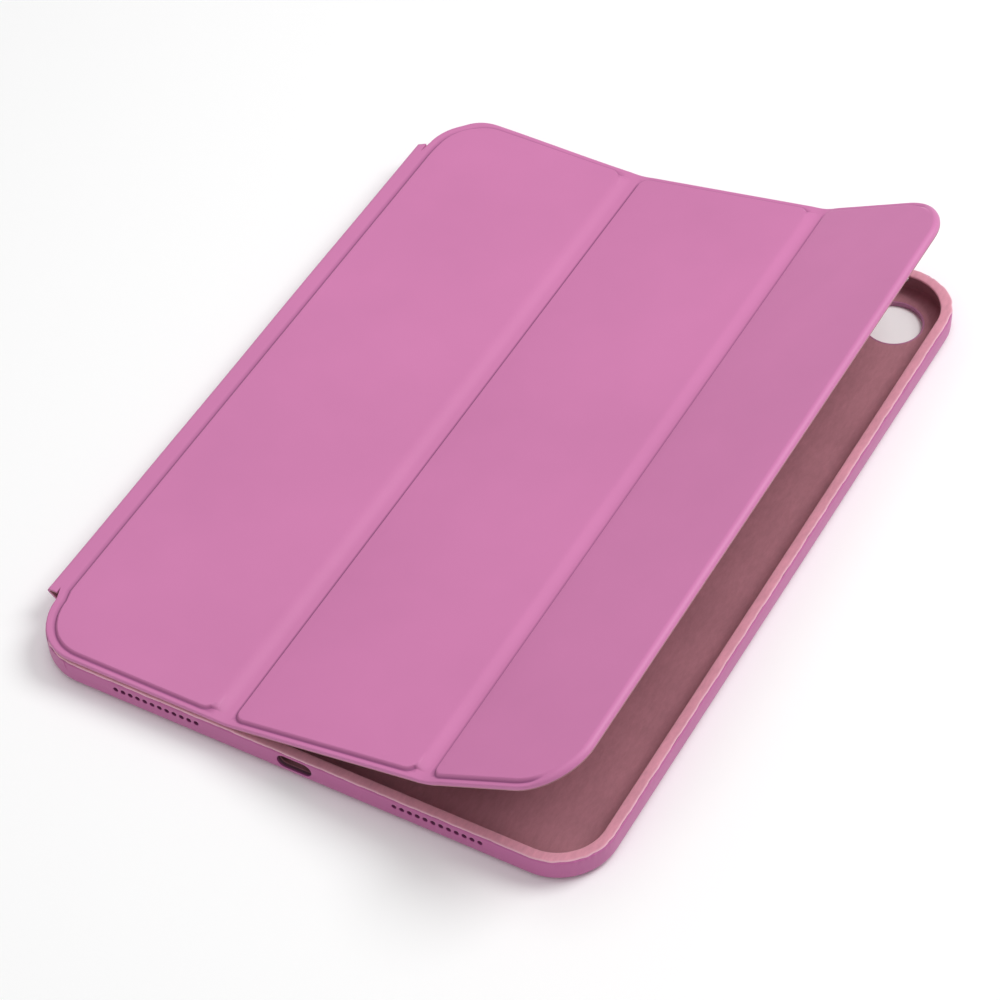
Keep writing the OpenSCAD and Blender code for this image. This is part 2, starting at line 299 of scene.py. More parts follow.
def face_outwards(obj):
    """Turns the faces of a closed mesh outwards."""
    bm = bmesh.new()
    bm.from_mesh(obj.data)
    bmesh.ops.recalc_face_normals(bm, faces=bm.faces)
    bm.to_mesh(obj.data)
    bm.free()
    obj.data.set_sharp_from_angle(angle=SHARP_ANGLE)


# ---- Materials
PAINTED_SHADE_TINT = (0.50, 0.40, 0.52)  # painted shade: multiplies the leather in a pressed line and round a hole's cut edge
HEM_TINT = (0.86, 0.52, 0.62)  # a paler tint along the rim band's folded outer edge


def node_material(name):
    material = bpy.data.materials.new(name)
    material.use_nodes = True
    nodes, links = material.node_tree.nodes, material.node_tree.links
    nodes.clear()
    out = nodes.new("ShaderNodeOutputMaterial")
    shader = nodes.new("ShaderNodeBsdfPrincipled")
    links.new(shader.outputs[0], out.inputs[0])
    return material, nodes, links, shader


def set_inputs(node, values):
    for socket, value in values.items():
        node.inputs[socket].default_value = value


def object_noise(nodes, links, scale, detail, rough, stretch=(1, 1, 1)):
    """Noise in the object's own space, so that it stays with the piece when it moves."""
    place = nodes.new("ShaderNodeTexCoord")
    spread = nodes.new("ShaderNodeMapping")
    spread.inputs["Scale"].default_value = stretch
    links.new(place.outputs["Object"], spread.inputs[0])
    noise = nodes.new("ShaderNodeTexNoise")
    set_inputs(noise, {"Scale": scale, "Detail": detail, "Roughness": rough})
    links.new(spread.outputs[0], noise.inputs["Vector"])
    return noise


def colour_ramp(nodes, links, source, low_stop, high_stop):
    """A blend between two colours, each given with its place on the source's scale."""
    ramp = nodes.new("ShaderNodeValToRGB")
    for element, (position, colour) in zip(ramp.color_ramp.elements, (low_stop, high_stop)):
        element.position = position
        element.color = (*colour, 1)
    links.new(source, ramp.inputs[0])
    return ramp


def value_ramp(nodes, links, source, lowest, highest):
    """The source's 0 to 1 spread between two values."""
    span = nodes.new("ShaderNodeMapRange")
    set_inputs(span, {"To Min": lowest, "To Max": highest})
    links.new(source, span.inputs["Value"])
    return span


def bumps(nodes, links, height, strength, distance, shader, under=None):
    """Bumps on the shader's surface, over other bumps where some are given."""
    bump = nodes.new("ShaderNodeBump")
    set_inputs(bump, {"Strength": strength, "Distance": distance})
    links.new(height, bump.inputs["Height"])
    if under:
        links.new(under.outputs[0], bump.inputs["Normal"])
    links.new(bump.outputs[0], shader.inputs["Normal"])
    return bump


def shade_of(colour, factor):
    return tuple(c * factor for c in colour)


def painted_by(nodes, links, attribute, base, tint, blend, shader):
    """Tints the base colour where a mesh attribute says so."""
    where = nodes.new("ShaderNodeAttribute")
    where.attribute_name = attribute
    mix = nodes.new("ShaderNodeMix")
    mix.data_type = "RGBA"
    mix.blend_type = blend
    links.new(where.outputs["Fac"], mix.inputs[0])
    links.new(base.outputs[0], mix.inputs[6])
    mix.inputs[7].default_value = (*tint, 1)
    links.new(mix.outputs[2], shader.inputs["Base Color"])


def leather(name, colour):
    """Satin synthetic leather: pebbled grain cells, soft colour drift, uneven gloss and painted shade
    along its pressed lines and hole edges.
    """
    material, nodes, links, shader = node_material(name)
    drift = object_noise(nodes, links, 18, 3, 0.6)
    tone = colour_ramp(nodes, links, drift.outputs["Fac"],
                       (0.3, shade_of(colour, 0.965)), (0.7, shade_of(colour, 1.035)))
    # Painted shade: the leather is darkened where the mesh's crease attribute marks a pressed line or
    # a hole's cut edge.
    painted_by(nodes, links, "crease", tone, PAINTED_SHADE_TINT, "MULTIPLY", shader)
    gloss = object_noise(nodes, links, 60, 4, 0.6)
    rough = value_ramp(nodes, links, gloss.outputs["Fac"], 0.40, 0.56)
    links.new(rough.outputs[0], shader.inputs["Roughness"])
    set_inputs(shader, {"Specular IOR Level": 0.42, "Sheen Weight": 0.12, "Sheen Roughness": 0.4,
                        "Sheen Tint": (1.0, 0.82, 0.93, 1)})
    cells = nodes.new("ShaderNodeTexVoronoi")
    cells.feature = "SMOOTH_F1"
    set_inputs(cells, {"Scale": 1700, "Smoothness": 0.6})
    place = nodes.new("ShaderNodeTexCoord")
    links.new(place.outputs["Object"], cells.inputs["Vector"])
    pores = bumps(nodes, links, cells.outputs["Distance"], 0.05, 0.00012, shader)
    ripple = object_noise(nodes, links, 110, 3, 0.5)
    bumps(nodes, links, ripple.outputs["Fac"], 0.06, 0.0006, shader, pores)
    return material


def microfibre(name, colour):
    """Brushed microfibre: a fine fibrous nap with lighter and darker strokes."""
    material, nodes, links, shader = node_material(name)
    nap = object_noise(nodes, links, 900, 4, 0.65, (1, 0.35, 1))
    patch = object_noise(nodes, links, 45, 3, 0.6)
    mix = nodes.new("ShaderNodeMath")
    mix.operation = "MULTIPLY_ADD"
    mix.inputs[1].default_value = 0.55
    links.new(nap.outputs["Fac"], mix.inputs[0])
    part = value_ramp(nodes, links, patch.outputs["Fac"], 0.0, 0.45)
    links.new(part.outputs[0], mix.inputs[2])
    tone = colour_ramp(nodes, links, mix.outputs[0],
                       (0.25, shade_of(colour, 0.80)), (0.75, shade_of(colour, 1.16)))
    painted_by(nodes, links, "hem", tone, HEM_TINT, "MIX", shader)
    set_inputs(shader, {"Roughness": 0.95, "Specular IOR Level": 0.15, "Sheen Weight": 0.45,
                        "Sheen Roughness": 0.5, "Sheen Tint": (1.0, 0.85, 0.86, 1)})
    bumps(nodes, links, nap.outputs["Fac"], 0.35, 0.0002, shader)
    return material


def moulded(name, colour, roughness):
    """Moulded plastic or board with a fine etched surface."""
    material, nodes, links, shader = node_material(name)
    grain = object_noise(nodes, links, 1400, 3, 0.6)
    tone = colour_ramp(nodes, links, grain.outputs["Fac"],
                       (0.3, shade_of(colour, 0.93)), (0.7, shade_of(colour, 1.06)))
    links.new(tone.outputs[0], shader.inputs["Base Color"])
    shader.inputs["Roughness"].default_value = roughness
    bumps(nodes, links, grain.outputs["Fac"], 0.12, 0.0001, shader)
    return material


def plated(name, colour):
    """Plated steel with a faint rolled grain."""
    material, nodes, links, shader = node_material(name)
    grain = object_noise(nodes, links, 700, 4, 0.6, (6, 0.3, 1))
    tone = colour_ramp(nodes, links, grain.outputs["Fac"],
                       (0.3, shade_of(colour, 0.88)), (0.7, colour))
    links.new(tone.outputs[0], shader.inputs["Base Color"])
    rough = value_ramp(nodes, links, grain.outputs["Fac"], 0.25, 0.42)
    links.new(rough.outputs[0], shader.inputs["Roughness"])
    shader.inputs["Metallic"].default_value = 1.0
    return material


LEATHER = leather("orchid_leather", (0.601, 0.192, 0.405))
TRAY_LEATHER = leather("tray_leather_skin", (0.520, 0.136, 0.335))
LINING = microfibre("rose_microfibre", (0.430, 0.185, 0.225))
RIM_FIBRE = microfibre("rim_microfibre", (0.725, 0.318, 0.408))
SHELL = moulded("shell_plastic", (0.12, 0.05, 0.08), 0.5)
RING = moulded("camera_ring_plastic", (0.42, 0.15, 0.28), 0.45)
BUTTON = moulded("button_plastic", (0.50, 0.165, 0.36), 0.42)
BOARD = moulded("stiffener_board", (0.55, 0.52, 0.46), 0.8)
STEEL = plated("zinc_plated_steel", (0.66, 0.67, 0.68))
MAGNET = plated("nickel_plated_magnet", (0.72, 0.70, 0.66))


# ---- Cover: leather and lining, made flat and then lifted at the two folds
def turned(x, z, px, pz, angle):
    """Points turned about an axis along Y, so that +X lifts towards +Z."""
    c, s = np.cos(angle), np.sin(angle)
    dx, dz = x - px, z - pz
    return px + c * dx - s * dz, pz + s * dx + c * dz


def settled(x, y):
    """How the cover lies at its spine side: corners cut in past the spine, the far one curled."""
    past_near = smooth((SPINE_NEAR + PULL_START - y) / PULL_ALONG)
    past_far = smooth((y - SPINE_FAR + PULL_START) / PULL_ALONG)
    pull = CORNER_PULL[0] * past_near + CORNER_PULL[1] * past_far
    pull = pull * (1 - smooth((x - COVER_X0) / PULL_ACROSS))
    curl = FAR_CURL * (1 - smooth((x - CURL_FROM) / CURL_ACROSS))
    return pull, curl * (1 - smooth((COVER_L / 2 - y) / CURL_ALONG))


def lifted(points):
    """Flat cover points at their place in the rest pose."""
    p = np.array(points, float)
    pull, curl = settled(p[:, 0], p[:, 1])
    x, z = p[:, 0] + pull, p[:, 2] + curl
    w1 = smooth((p[:, 0] - FOLD_X[0] + BEND) / (2 * BEND))
    w2 = smooth((p[:, 0] - FOLD_X[1] + BEND) / (2 * BEND))
    x, z = turned(x, z, FOLD_X[1], MARGIN_Z, w2 * TILT_2)
    x, z = turned(x, z, FOLD_X[0], MARGIN_Z, w1 * TILT_1)
    return np.column_stack([x, p[:, 1], z])


def edge_depth(x, y):
    """Distance from the cover's free outline. Its spine side is free only past the spine's ends."""
    depth, _ = band_depth(x, y, COVER_X0, COVER_X1, COVER_L / 2, COVER_R, COVER_R)
    joined = (y > SPINE_NEAR) & (y < SPINE_FAR) & (x < COVER_X0 + SPINE_SIDE)
    from_end = np.hypot(x - COVER_X0, np.minimum(y - SPINE_NEAR, SPINE_FAR - y))
    rest = np.minimum(COVER_X1 - x, COVER_L / 2 - np.abs(y))
    return np.where(joined, np.minimum(from_end, rest), depth)


def free_share(x, y):
    """1 along the free edge, 0 along the near and far edges, blended round the free corners."""
    depth, nx = band_depth(x, y, COVER_X0, COVER_X1, COVER_L / 2, COVER_R, COVER_R)
    near_edge = (x > SEAM_X) & (depth < 2 * SIDE_MARGIN)
    return np.where(near_edge, smooth((nx - FREE_FROM) / FREE_OVER), 0.0)


def field_slope(nx, ramp):
    """Width, start and gentleness of a field's slope, where its outline faces this way."""
    gentle = smooth((nx - GENTLE_FROM) / GENTLE_OVER)
    return STEP + (ramp - STEP) * gentle, STEP / 2 * (1 - gentle), gentle


def field_rise(x, y):
    """Height of the leather over the margins, and how far in a pressed line each point lies, which
    also sets the painted shade there.
    """
    total, crease = np.zeros_like(x), np.zeros_like(x)
    for x0, x1, r0, r1, ramp in FIELDS:
        depth, nx = band_depth(x, y, x0, x1, FIELD_HALF, r0, r1)
        width, start, gentle = field_slope(nx, ramp)
        total = np.maximum(total, smooth(1 + (depth - start) / width))
        foot = np.exp(-((depth + STEP / 2 + GROOVE_OUT) / GROOVE_HALF) ** 2) * (1 - gentle)
        foot *= 1 - FAR_FADE * np.sqrt(np.maximum(1 - nx ** 2, 0)) * (y > 0)
        crease = np.maximum(crease, foot)
    free = free_share(x, y)
    crease *= 1 - smooth(free * 1.6)
    return RISE * (total + (1 - total) * free) - GROOVE * crease, crease


def rolled(depth, radius):
    """How far a rounded edge of this radius has dropped at this depth from the outline."""
    inside = np.clip(radius - depth, 0, radius)
    return radius - np.sqrt(np.maximum(radius ** 2 - inside ** 2, 0))


INSIDE_ONLY = 1             # the triangulation's option to keep only what the outline holds
MERGE_WITHIN = 1e-5


def flat_mesh(loops, lines, points, outline):
    """Triangles inside the outline that keep the loops and lines as edges."""
    verts, edges = [], []
    for loop in [outline] + loops:
        first = len(verts)
        verts += loop
        edges += [(first + i, first + (i + 1) % len(loop)) for i in range(len(loop))]
    for line in lines:
        first = len(verts)
        verts += line
        edges += [(first + i, first + i + 1) for i in range(len(line) - 1)]
    verts += points
    face = [list(range(len(outline)))]
    flat = [Vector(v) for v in verts]
    co, _, tris, _, _, _ = delaunay_2d_cdt(flat, edges, face, INSIDE_ONLY, MERGE_WITHIN)
    return np.array([(v.x, v.y) for v in co]), [tuple(t) for t in tris]


def paint(obj, name, values):
    """Stores a value per point for the material to read."""
    obj.data.attributes.new(name, "FLOAT", "POINT").data.foreach_set("value", values)


def sheet_solid(name, plan, tris, top, bottom, material):
    """A closed sheet: the same plan mesh for its top and bottom, joined round the outline."""
    verts = np.vstack([np.column_stack([plan, top]), np.column_stack([plan, bottom])])
    return new_object(name, lifted(verts), closed_faces(tris, len(plan)), material)


def cut_at_seam(obj, name, side):
    """A copy of a cover sheet on one side of the seam, which is square to the middle panel."""
    piece = obj.copy()
    piece.data = obj.data.copy()
    piece.name = name
    piece.data.name = name
    bpy.context.scene.collection.objects.link(piece)
    at = lifted([(SEAM_X, 0, MARGIN_Z)])[0] * MM
    along = Vector((cos(TILT_1), 0, sin(TILT_1)))
    bm = bmesh.new()
    bm.from_mesh(piece.data)
    cut = bmesh.ops.bisect_plane(bm, geom=bm.verts[:] + bm.edges[:] + bm.faces[:], dist=1e-7,
                                 plane_co=at, plane_no=along, clear_outer=side < 0,
                                 clear_inner=side > 0)
    rim = [e for e in cut["geom_cut"] if isinstance(e, bmesh.types.BMEdge)]
    cap = bmesh.ops.holes_fill(bm, edges=rim, sides=0)
    for e in rim:
        e.smooth = False
    for f in cap["faces"]:
        f.smooth = False
    bm.to_mesh(piece.data)
    bm.free()
    return piece


def cover_plan(inset, with_fields):
    """The plan mesh of the cover, its edges along the outline, the steps and the folds."""
    outline_of = (COVER_X0, COVER_X1, COVER_L / 2, COVER_R, COVER_R)
    outline = band_loop(*outline_of, offset=-inset)
    loops = [band_loop(*outline_of, offset=-inset - d) for d in EDGE_DEPTHS]
    lines, points = [], []
    half = COVER_L / 2 - inset
    rows = np.linspace(-half, half, BEND_ROWS)
    for fold in FOLD_X:
        for dx in np.linspace(-BEND, BEND, BEND_LINES):
            lines.append([(fold + dx, y) for y in rows])
    if with_fields:
        for field in FIELDS:
            for share in SLOPE_SHARES:
                loops.append(field_loop(*field, share))
    for x in np.arange(COVER_X0 + 8, COVER_X1 - 4, GRID[0]):
        if min(abs(x - f) for f in FOLD_X) > 9:
            points += [(x, y) for y in np.arange(-half + 6, half - 5, GRID[1])]
    return flat_mesh(loops, lines, points, outline)


def field_loop(x0, x1, r0, r1, ramp, share):
    """A loop round a raised field, this share of the way down its slope."""
    longest = CHANNEL_BACK[1] + CHANNEL_AHEAD[1] - STEP / 2 - 0.1
    out = []
    for x, y in band_loop(x0, x1, FIELD_HALF, r0, r1):
        _, nx = band_depth(np.array([x]), np.array([y]), x0, x1, FIELD_HALF, r0, r1)
        nx = float(nx[0])
        ny = copysign(sqrt(max(0.0, 1 - nx * nx)), y)
        width, start, _ = field_slope(nx, ramp)
        reach = min(float(share * width - start), longest)
        out.append((x + nx * reach, y + ny * reach))
    return out


def fold_blend(obj):
    """Bakes a cover piece's placement into its mesh."""
    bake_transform(obj)


def two_lengths(whole, layer):
    """Cuts a cover sheet at its seam into a spine-side and a free-side length, and hides the CAD's
    panel layers.
    """
    near = cut_at_seam(whole, "cover_%s_spine_side" % layer, -1)
    far = cut_at_seam(whole, "cover_%s_free_side" % layer, 1)
    bpy.data.objects.remove(whole)
    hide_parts("panel_1_" + layer, "panel_2_" + layer)
    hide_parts("panel_3_" + layer)
    for fold, piece in enumerate((near, far)):
        fold_blend(piece)


def cover_leather():
    """The cover's leather, with its raised fields and pressed lines."""
    plan, tris = cover_plan(0.0, True)
    x, y = plan[:, 0], plan[:, 1]
    depth = edge_depth(x, y)
    rise, crease = field_rise(x, y)
    top = MARGIN_Z + rise - rolled(depth, EDGE_ROLL + (FREE_ROLL - EDGE_ROLL) * free_share(x, y))
    bottom = LEATHER_Z + rolled(depth, UNDER_ROLL)
    whole = sheet_solid("cover_leather", plan, tris, top, bottom, LEATHER)
    # Painted shade along the pressed lines, on the top face only.
    paint(whole, "crease", np.concatenate([crease, np.zeros(len(plan))]))
    two_lengths(whole, "leather")


def cover_lining():
    """The cover's lining, with a shallow line pressed into it at each fold."""
    plan, tris = cover_plan(LINING_INSET, False)
    depth = edge_depth(plan[:, 0], plan[:, 1]) - LINING_INSET
    groove = np.zeros(len(plan))
    for fold in FOLD_X:
        groove += LINING_GROOVE * np.exp(-((plan[:, 0] - fold) / LINING_GROOVE_HALF) ** 2)
    top = np.full(len(plan), LEATHER_Z)
    bottom = LINING_Z + np.minimum(groove + rolled(depth, LINING_ROLL), LINING_T)
    whole = sheet_solid("cover_lining", plan, tris, top, bottom, LINING)
    two_lengths(whole, "lining")


# ---- Sheets with an outer and an inner face
class Sheet:
    """Collects faces whose corners have an outer and an inner place and a share of painted shade, and
    closes them as a solid.
    """

    def __init__(self):
        self.outer = []
        self.inner = []
        self.shade = []
        self.faces = []
        self.numbers = {}

    def corner(self, outer, inner, shade=0.0):
        key = tuple(round(c, 4) for c in outer)
        if key not in self.numbers:
            self.numbers[key] = len(self.outer)
            self.outer.append(outer)
            self.inner.append(inner)
            self.shade.append(shade)
        return self.numbers[key]

    def face(self, corners):
        ring = [self.corner(*c) for c in corners]
        ring = [n for i, n in enumerate(ring) if n != ring[i - 1]]
        if len(ring) > 2:
            self.faces.append(tuple(ring))

    def build(self, name, material):
        faces = closed_faces(self.faces, len(self.outer))
        obj = new_object(name, self.outer + self.inner, faces, material)
        face_outwards(obj)
        return obj


def lofted(name, rings, material, closed_path=False):
    """A solid from equal rings of points, joined along the path and capped where the path ends."""
    count = len(rings[0])
    verts = [p for ring in rings for p in ring]
    faces = []
    spans = len(rings) if closed_path else len(rings) - 1
    for i in range(spans):
        a, b = i * count, ((i + 1) % len(rings)) * count
        for j in range(count):
            k = (j + 1) % count
            faces.append((a + j, a + k, b + k, b + j))
    if not closed_path:
        faces.append(tuple(reversed(range(count))))
        faces.append(tuple((len(rings) - 1) * count + j for j in range(count)))
    obj = new_object(name, verts, faces, material)
    face_outwards(obj)
    return obj


# ---- Tray: stations round its plan, wall windows with holes, leather, lining and rim
def stations(step, corner_step):
    """Places round the tray: a point between the corners' centres and an outward direction."""
    out = []
    corners = ((CORNER_X, -CORNER_Y, -90), (CORNER_X, CORNER_Y, 0),
               (-CORNER_X, CORNER_Y, 90), (-CORNER_X, -CORNER_Y, 180))
    for i, (x, y, start) in enumerate(corners):
        n = int(round(90 / corner_step))
        for k in range(n + 1):
            a = radians(start + 90 * k / n)
            out.append((x, y, cos(a), sin(a)))
        nx, ny, _ = corners[(i + 1) % 4]
        a = radians(start + 90)
        length = hypot(nx - x, ny - y)
        n = int(round(length / step))
        for k in range(1, n):
            t = k / n
            out.append((x + (nx - x) * t, y + (ny - y) * t, cos(a), sin(a)))
    return out


def at_station(station, radius, z):
    """The point this far out from a station's base."""
    bx, by, ox, oy = station
    return (bx + ox * radius, by + oy * radius, z)


def without_repeats(points):
    """A closed loop without the points that lie on the one before."""
    return [p for i, p in enumerate(points) if dist(p, points[i - 1]) > 1e-6]


def stadium_outline(x, z, width, height, grow, steps):
    """Points round a stadium in the wall's own plane, with this many steps round each end."""
    r = height / 2 + grow
    half = (width - height) / 2
    points = []
    for side, start in ((1, -90), (-1, 90)):
        for i in range(steps + 1):
            a = radians(start + 180 * i / steps)
            points.append((x + side * half + r * cos(a), z + r * sin(a)))
    return points


def stadium_loop(x, z, width, height, grow):
    """Points round a hole with short steps. The two ends of a round hole meet."""
    steps = max(8, int(ceil(pi * (height / 2 + grow) / HOLE_STEP)))
    points = stadium_outline(x, z, width, height, grow, steps)
    if width == height:
        points = without_repeats(points)
    return subdivide_loop(points, HOLE_RUN)


def stadium_depth(x, z, cx, cz, width, height):
    """Distance outwards from a stadium's edge."""
    half = (width - height) / 2
    dx = np.maximum(np.abs(x - cx) - half, 0)
    return np.hypot(dx, z - cz) - height / 2


def hole_gap(x, z, holes):
    """Distance outwards from the nearest hole's edge."""
    return np.min([stadium_depth(x, z, *hole) for hole in holes], axis=0)


def speaker_rows(reach):
    """Two rows of speaker holes, whose middles lie this far to each side."""
    span = (SPEAKER_COUNT - 1) * SPEAKER_PITCH
    return [(side * reach - span / 2 + i * SPEAKER_PITCH, SPEAKER_Z, SPEAKER_D, SPEAKER_D)
            for side in (-1, 1) for i in range(SPEAKER_COUNT)]


NEAR_HOLES = [PORT] + speaker_rows(NEAR_SPEAKERS)
FAR_HOLES = ([KEY, MIC] + speaker_rows(FAR_SPEAKERS)
             + [(x, PORT_Z, BUTTON_W + 2 * BUTTON_CLEAR, BUTTON_H + 2 * BUTTON_CLEAR)
                for x in BUTTON_X])


def window_patch(sheet, side, holes, xs, zs, radius, thickness, roll):
    """Fills a short wall between two heights with a mesh that runs round its holes."""
    outline = ([(x, zs[0]) for x in xs] + [(xs[-1], z) for z in zs[1:-1]]
               + [(x, zs[-1]) for x in reversed(xs)] + [(xs[0], z) for z in reversed(zs[1:-1])])
    loops = [stadium_loop(*hole, grow) for hole in holes for grow in HOLE_RINGS]
    gx = np.arange(xs[0] + 1.5, xs[-1] - 1.0, WALL_GRID)
    gz = np.linspace(zs[0], zs[-1], 6)[1:-1]
    px, pz = (a.ravel() for a in np.meshgrid(gx, gz))
    free = hole_gap(px, pz, holes) > HOLE_CLEAR
    points = [(float(x), float(z)) for x, z in zip(px[free], pz[free])]
    plan, tris = flat_mesh(loops, [], points, outline)
    gap = hole_gap(plan[:, 0], plan[:, 1], holes)
    drop = rolled(np.maximum(gap, 0), roll)

    def corner(i):
        x, z = float(plan[i, 0]), float(plan[i, 1])
        base = (x, side * CORNER_Y, 0.0, float(side))
        # A point on a hole's edge carries painted shade, so the leather's cut edge round the hole is
        # darkened.
        on_hole = gap[i] < 1e-3
        lift = 0.0 if on_hole else wall_swell(base, z)
        return (at_station(base, radius + lift - float(drop[i]), z),
                at_station(base, radius - thickness, z), float(on_hole))

    for tri in tris:
        cx, cz = plan[list(tri)].mean(axis=0)
        if hole_gap(cx, cz, holes) > 0:
            sheet.face([corner(i) for i in tri])


def spine_corner(station):
    """1 at the middle of the near left corner, 0 where its arc ends."""
    bx, by, ox, oy = station
    return 2 * abs(ox * oy) if bx < 0 and by < 0 else 0.0


def pressed_corner(station, z):
    """The leather lies thinner over the shell at the near left corner."""
    return -NEAR_PRESS * spine_corner(station) * min(1.0, max(0.0, z) / 1.5)


def wall_swell(station, z):
    """How far the wall's leather stands off the shell: a soft crown and a slow drift."""
    bx, by, _, _ = station
    share = (z - TRAY_EDGE_R) / (SKIN_TOP - TRAY_EDGE_R)
    crown = WALL_CROWN * sin(pi * min(max(share, 0), 1))
    drift = WALL_DRIFT * sin(bx * 0.21 + by * 0.17 + 1.3) * sin(z * 0.9 + bx * 0.05)
    fade = min(1.0, max(0.0, z - TRAY_EDGE_R) / 1.5)
    return (crown + drift) * fade * (1 - spine_corner(station))


def corner_pleats(station, z):
    """Small gathers where the leather turns under the rim at the rounded corners."""
    _, _, ox, oy = station
    turn = 4 * ox * ox * oy * oy
    height = min(1.0, max(0.0, (z - SKIN_TOP + 4.1) / 3.4))
    gathers = waves(atan2(oy, ox), PLEAT_WAVES) / 1.7
    return PLEAT * gathers * turn ** 0.5 * height * height * (1 - spine_corner(station))


def lap_seam(station, z):
    """The lap where the two ends of the wall's leather meet, just past the near left corner."""
    bx, by, ox, oy = station
    if bx > 0 or by > 0 or z < LAP_Z:
        return 0.0
    along = degrees(atan2(oy, ox)) - (LAP_ANGLE - LAP_LEAN * (z - LAP_Z - 2.2))
    along *= radians(1) * TRAY_R
    ridge = 0.20 * exp(-((along + 0.25) / 0.28) ** 2)
    groove = 0.22 * exp(-((along - 0.2) / 0.16) ** 2)
    return (ridge - groove) * min(1.0, (z - LAP_Z) / 0.8)


def floor_patch(sheet, around, radius, z, thickness, hole_r):
    """The flat bottom of a tray-shaped layer, with the camera window left open."""
    outline = without_repeats([at_station(s, radius, z)[:2] for s in around])
    cx, cy = CAMERA_AT
    loops = [[(cx + (hole_r + g) * cos(a), cy + (hole_r + g) * sin(a))
              for a in np.linspace(0, 2 * pi, 64, endpoint=False)] for g in (0.0, 0.4, 1.2)]
    points = [(x, y) for x in np.arange(-84, 85, FLOOR_GRID) for y in np.arange(-118, 119, FLOOR_GRID)
              if hypot(x - cx, y - cy) > hole_r + 3
              and not (abs(x) > CORNER_X - 3 and abs(y) > CORNER_Y - 3
                       and hypot(abs(x) - CORNER_X, abs(y) - CORNER_Y) > radius - 4)]
    plan, tris = flat_mesh(loops, [], points, outline)
    for tri in tris:
        mx, my = plan[list(tri)].mean(axis=0)
        if hypot(mx - cx, my - cy) > hole_r:
            ring = [(float(plan[i, 0]), float(plan[i, 1])) for i in tri]
            sheet.face([((x, y, z), (x, y, z + thickness)) for x, y in ring])


def tray_layer(radius, base, thickness, corner, rows, hem, hole_r, roll, extra, corner_step):
    """One tray-shaped sheet: flat bottom, rounded edge, walls with their openings and a hem."""
    around = stations(WALL_STEP, corner_step)
    sheet = Sheet()
    profile = []
    for k in range(EDGE_SPANS + 1):
        a = radians(-90 + 90 * k / EDGE_SPANS)
        c, s = cos(a), sin(a)
        profile.append((radius - corner + corner * c, base + corner + corner * s,
                        radius - corner + (corner - thickness) * c,
                        base + corner + (corner - thickness) * s))
    for z in rows:
        profile.append((radius, z, radius - thickness, z))
    window = range(EDGE_SPANS + 1, EDGE_SPANS + len(rows))
    profile += [(radius - a, z, radius - thickness + b, z) for a, b, z in hem]
    for s0, s1 in zip(around, around[1:] + around[:1]):
        short_wall = min(abs(s0[3]), abs(s1[3])) > STRAIGHT
        for k, (p0, p1) in enumerate(zip(profile, profile[1:])):
            if short_wall and k in window:
                continue
            quad = []
            for s, p in ((s0, p0), (s1, p0), (s1, p1), (s0, p1)):
                r, z, ri, zi = p
                off = extra(s, z) if base < z < SKIN_TOP - 0.2 else 0.0
                quad.append((at_station(s, r + off, z), at_station(s, ri, zi)))
            sheet.face(quad)
    for side, holes in ((-1, NEAR_HOLES), (1, FAR_HOLES)):
        xs = sorted(s[0] for s in around if s[3] * side > STRAIGHT)
        window_patch(sheet, side, holes, xs, rows, radius, thickness, roll)
    floor_patch(sheet, around, radius - corner, base, thickness, hole_r)
    return sheet


def tray_leather():
    """The leather on the tray's back, edge and walls, its top turned in under the rim band."""
    def shape(station, z):
        return (wall_swell(station, z) + corner_pleats(station, z) + lap_seam(station, z)
                + pressed_corner(station, z))

    turn = [(0.0, 0.45), (0.02, 0.3), (0.07, 0.18), (0.15, 0.08), (0.25, 0.0)]
    hem = [(back, back * 0.9, SKIN_TOP - HEM_DROP - drop) for back, drop in turn]
    rows = list(np.linspace(TRAY_EDGE_R, SKIN_TOP - HEM_DROP - 0.5, 9))
    sheet = tray_layer(TRAY_R, 0.0, SKIN_T, TRAY_EDGE_R, rows, hem, CAMERA_R + 1.6, HOLE_ROLL,
                       shape, 0.75)
    obj = sheet.build("tray_leather_skin", TRAY_LEATHER)
    # Painted shade round the holes' cut edges, on the outer and inner face alike.
    paint(obj, "crease", sheet.shade * 2)
    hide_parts("tray_leather")
    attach(obj, "tray")


def tray_lining():
    """The microfibre on the tray's floor and walls, up to the lip."""
    rows = list(np.linspace(LINING_BASE + 1.0, LIP_Z - 0.1, 5))
    hem = [(0.0, 0.0, LIP_Z)]
    sheet = tray_layer(LINING_OUT, LINING_BASE, LINING_T, 1.0, rows, hem, CAMERA_R + RING_NECK, 0.0,
                       lambda station, z: 0.0, 3.0)
    obj = sheet.build("tray_lining", LINING)
    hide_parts("floor_lining", "wall_lining")
    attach(obj, "tray")


def rim_reach(station, along):
    """How far the band's outer edge reaches past the shell, with its hand-cut waver."""
    bx, by, ox, oy = station
    turn = (2 * abs(ox * oy)) ** 0.5
    gathers = 0.09 * sin(along * 1.21) * turn
    reach = RIM_REACH + 0.10 * abs(oy) + waves(along, RIM_WAVER) + gathers
    reach -= 0.25 * spine_corner(station)
    if bx > 0 and by > 0:
        reach += RIM_FAR * float(smooth((oy - 0.22) / 0.12) * smooth((0.98 - oy) / 0.3))
    return reach


